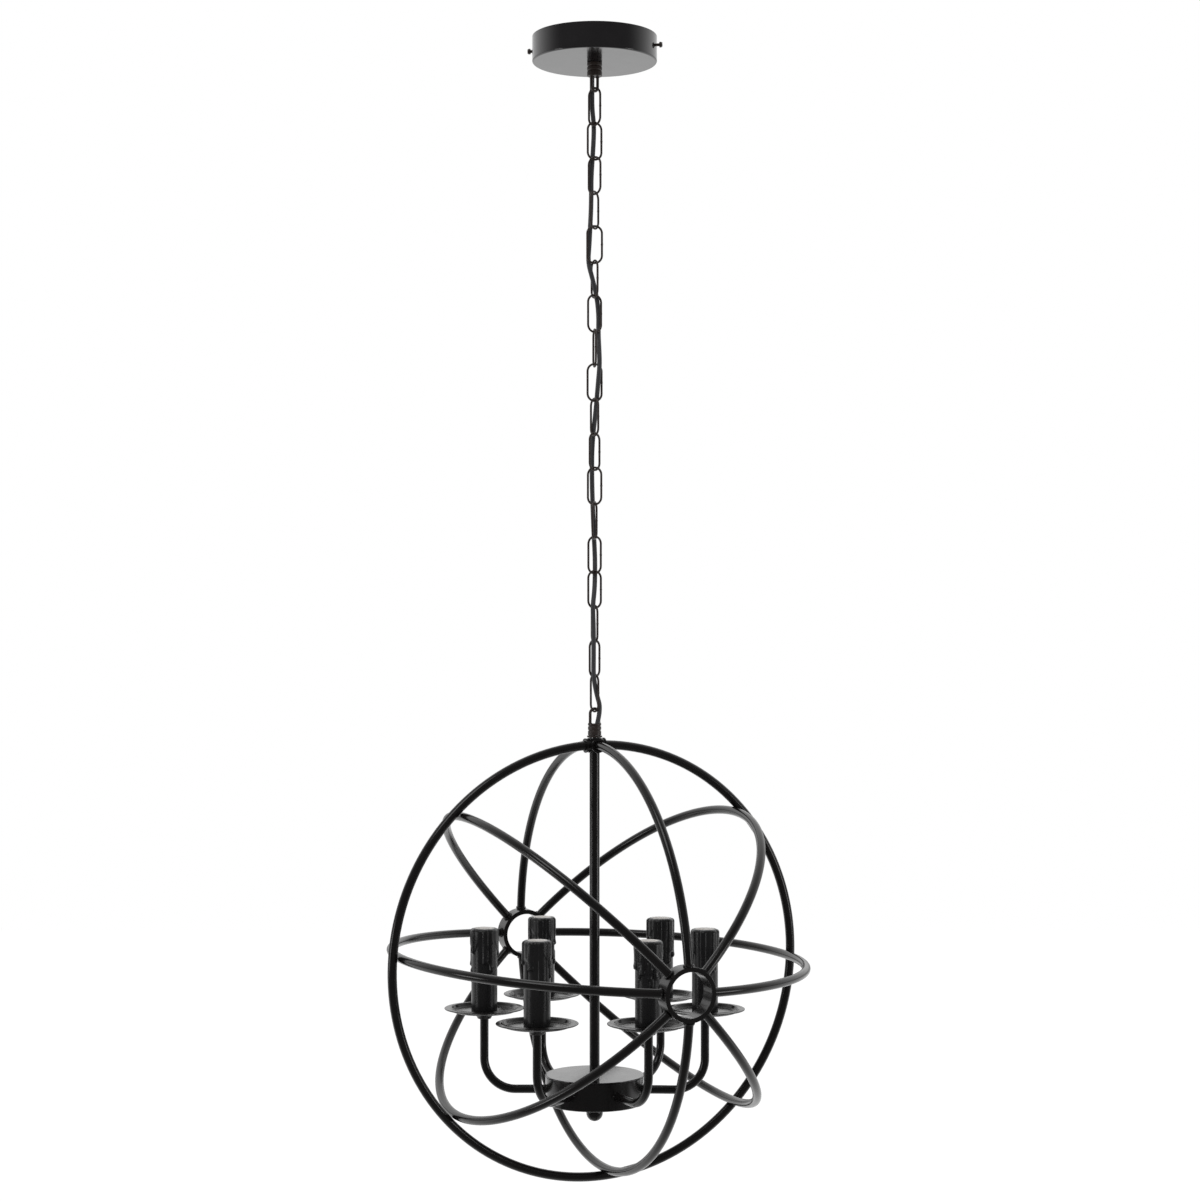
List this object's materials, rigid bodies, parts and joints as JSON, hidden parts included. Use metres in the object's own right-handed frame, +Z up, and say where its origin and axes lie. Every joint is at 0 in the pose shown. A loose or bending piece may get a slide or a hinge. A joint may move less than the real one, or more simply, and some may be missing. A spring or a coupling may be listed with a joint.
{
  "type": "orb chandelier",
  "caption": "Ceiling pendant: a round cage of black tube hoops about a ring of candle lamps, hung by a ceiling cup and an oval-link chain with a woven cable.",
  "frame": {"origin": "middle of the ceiling plane over the cup", "axes": "+Z up, -Y towards the viewer of the front view, +X to that viewer's right"},
  "size_m": [0.4073, 0.4077, 1.1023],
  "materials": {
    "black_metal": "satin black paint",
    "chain_metal": "satin brown-black finish",
    "zinc_steel": "zinc plated steel",
    "white_plastic": "white polyamide",
    "cable": "dull dark grey flex sheath",
    "candle_sleeve": "satin black sleeve with moulded wax drips",
    "socket_plastic": "black thermoplastic lampholder"
  },
  "bodies": {
    "ceiling": {"ceiling_bracket": "zinc_steel", "canopy_cup": "black_metal", "canopy_screws": "chain_metal", "upper_nipple": "zinc_steel", "canopy_nut": "zinc_steel", "upper_loop": "chain_metal", "terminal_block": "white_plastic", "chain_cable": "cable"},
    "link_01": {"chain_link_01": "chain_metal"},
    "link_02": {"chain_link_02": "chain_metal"},
    "link_03": {"chain_link_03": "chain_metal"},
    "link_04": {"chain_link_04": "chain_metal"},
    "link_05": {"chain_link_05": "chain_metal"},
    "link_06": {"chain_link_06": "chain_metal"},
    "link_07": {"chain_link_07": "chain_metal"},
    "link_08": {"chain_link_08": "chain_metal"},
    "link_09": {"chain_link_09": "chain_metal"},
    "link_10": {"chain_link_10": "chain_metal"},
    "link_11": {"chain_link_11": "chain_metal"},
    "link_12": {"chain_link_12": "chain_metal"},
    "link_13": {"chain_link_13": "chain_metal"},
    "link_14": {"chain_link_14": "chain_metal"},
    "link_15": {"chain_link_15": "chain_metal"},
    "link_16": {"chain_link_16": "chain_metal"},
    "link_17": {"chain_link_17": "chain_metal"},
    "link_18": {"chain_link_18": "chain_metal"},
    "orb": {"lower_loop": "chain_metal", "hub_washer": "black_metal", "hub": "black_metal", "hub_nipple": "zinc_steel", "stem": "black_metal", "hoop_outer": "black_metal", "hoop_cross_back": "black_metal", "hoop_cross_front": "black_metal", "hoop_cross_lower": "black_metal", "hoop_level_right": "black_metal", "hoop_right_lower": "black_metal", "hoop_left_lower": "black_metal", "hoop_level_left": "black_metal", "hoop_left_upper": "black_metal", "hoop_right_upper": "black_metal", "eyelet_front": "black_metal", "eyelet_back": "black_metal", "drum_body": "black_metal", "drum_lid": "black_metal", "finial": "black_metal", "bobeches": "black_metal", "lampholders": "socket_plastic", "arm_1": "black_metal", "arm_2": "black_metal", "arm_3": "black_metal", "arm_4": "black_metal", "arm_5": "black_metal", "arm_6": "black_metal"},
    "sleeve_1": {"candle_1": "candle_sleeve"},
    "sleeve_2": {"candle_2": "candle_sleeve"},
    "sleeve_3": {"candle_3": "candle_sleeve"},
    "sleeve_4": {"candle_4": "candle_sleeve"},
    "sleeve_5": {"candle_5": "candle_sleeve"},
    "sleeve_6": {"candle_6": "candle_sleeve"}
  },
  "joints": [
    {"name": "link_01_swing", "type": "hinge", "parent": "ceiling", "child": "link_01", "pos_m": [0, 0, -0.0522], "axis": [-0.5878, -0.809, 0], "range_deg": [-30, 30], "deforming": ["chain_cable"]},
    {"name": "link_02_swing", "type": "hinge", "parent": "link_01", "child": "link_02", "pos_m": [0, 0, -0.08501], "axis": [-0.766, 0.6428, 0], "range_deg": [-30, 30], "deforming": ["chain_cable"]},
    {"name": "link_03_swing", "type": "hinge", "parent": "link_02", "child": "link_03", "pos_m": [0, 0, -0.11817], "axis": [0.9272, 0.3746, 0], "range_deg": [-30, 30], "deforming": ["chain_cable"]},
    {"name": "link_04_swing", "type": "hinge", "parent": "link_03", "child": "link_04", "pos_m": [0, 0, -0.15133], "axis": [0.7986, -0.6018, 0], "range_deg": [-30, 30], "deforming": ["chain_cable"]},
    {"name": "link_05_swing", "type": "hinge", "parent": "link_04", "child": "link_05", "pos_m": [0, 0, -0.18449], "axis": [0.5, 0.866, 0], "range_deg": [-30, 30], "deforming": ["chain_cable"]},
    {"name": "link_06_swing", "type": "hinge", "parent": "link_05", "child": "link_06", "pos_m": [0, 0, -0.21765], "axis": [-1, 0, 0], "range_deg": [-30, 30], "deforming": ["chain_cable"]},
    {"name": "link_07_swing", "type": "hinge", "parent": "link_06", "child": "link_07", "pos_m": [0, 0, -0.25081], "axis": [0.4067, -0.9135, 0], "range_deg": [-30, 30], "deforming": ["chain_cable"]},
    {"name": "link_08_swing", "type": "hinge", "parent": "link_07", "child": "link_08", "pos_m": [0, 0, -0.28397], "axis": [0.8829, 0.4695, 0], "range_deg": [-30, 30], "deforming": ["chain_cable"]},
    {"name": "link_09_swing", "type": "hinge", "parent": "link_08", "child": "link_09", "pos_m": [0, 0, -0.31713], "axis": [-0.1736, 0.9848, 0], "range_deg": [-30, 30], "deforming": ["chain_cable"]},
    {"name": "link_10_swing", "type": "hinge", "parent": "link_09", "child": "link_10", "pos_m": [0, 0, -0.35029], "axis": [-0.9532, -0.3024, 0], "range_deg": [-30, 30], "deforming": ["chain_cable"]},
    {"name": "link_11_swing", "type": "hinge", "parent": "link_10", "child": "link_11", "pos_m": [0, 0, -0.38345], "axis": [0.5, -0.866, 0], "range_deg": [-30, 30], "deforming": ["chain_cable"]},
    {"name": "link_12_swing", "type": "hinge", "parent": "link_11", "child": "link_12", "pos_m": [0, 0, -0.41661], "axis": [0.6626, 0.749, 0], "range_deg": [-30, 30], "deforming": ["chain_cable"]},
    {"name": "link_13_swing", "type": "hinge", "parent": "link_12", "child": "link_13", "pos_m": [0, 0, -0.44977], "axis": [-0.9135, 0.4067, 0], "range_deg": [-30, 30], "deforming": ["chain_cable"]},
    {"name": "link_14_swing", "type": "hinge", "parent": "link_13", "child": "link_14", "pos_m": [0, 0, -0.48293], "axis": [-0.2756, -0.9613, 0], "range_deg": [-30, 30], "deforming": ["chain_cable"]},
    {"name": "link_15_swing", "type": "hinge", "parent": "link_14", "child": "link_15", "pos_m": [0, 0, -0.51609], "axis": [-0.848, 0.5299, 0], "range_deg": [-30, 30], "deforming": ["chain_cable"]},
    {"name": "link_16_swing", "type": "hinge", "parent": "link_15", "child": "link_16", "pos_m": [0, 0, -0.54925], "axis": [0.8572, 0.515, 0], "range_deg": [-30, 30], "deforming": ["chain_cable"]},
    {"name": "link_17_swing", "type": "hinge", "parent": "link_16", "child": "link_17", "pos_m": [0, 0, -0.58241], "axis": [-0.3907, 0.9205, 0], "range_deg": [-30, 30], "deforming": ["chain_cable"]},
    {"name": "link_18_swing", "type": "hinge", "parent": "link_17", "child": "link_18", "pos_m": [0, 0, -0.61557], "axis": [-0.6626, -0.749, 0], "range_deg": [-30, 30], "deforming": ["chain_cable"]},
    {"name": "orb_swing", "type": "hinge", "parent": "link_18", "child": "orb", "pos_m": [0, 0, -0.64873], "axis": [0.515, -0.8572, 0], "range_deg": [-30, 30], "deforming": ["chain_cable"]},
    {"name": "sleeve_1_lift", "type": "slide", "parent": "orb", "child": "sleeve_1", "axis": [0, 0, 1], "range_m": [0, 0.09]},
    {"name": "sleeve_2_lift", "type": "slide", "parent": "orb", "child": "sleeve_2", "axis": [0, 0, 1], "range_m": [0, 0.09]},
    {"name": "sleeve_3_lift", "type": "slide", "parent": "orb", "child": "sleeve_3", "axis": [0, 0, 1], "range_m": [0, 0.09]},
    {"name": "sleeve_4_lift", "type": "slide", "parent": "orb", "child": "sleeve_4", "axis": [0, 0, 1], "range_m": [0, 0.09]},
    {"name": "sleeve_5_lift", "type": "slide", "parent": "orb", "child": "sleeve_5", "axis": [0, 0, 1], "range_m": [0, 0.09]},
    {"name": "sleeve_6_lift", "type": "slide", "parent": "orb", "child": "sleeve_6", "axis": [0, 0, 1], "range_m": [0, 0.09]}
  ]
}
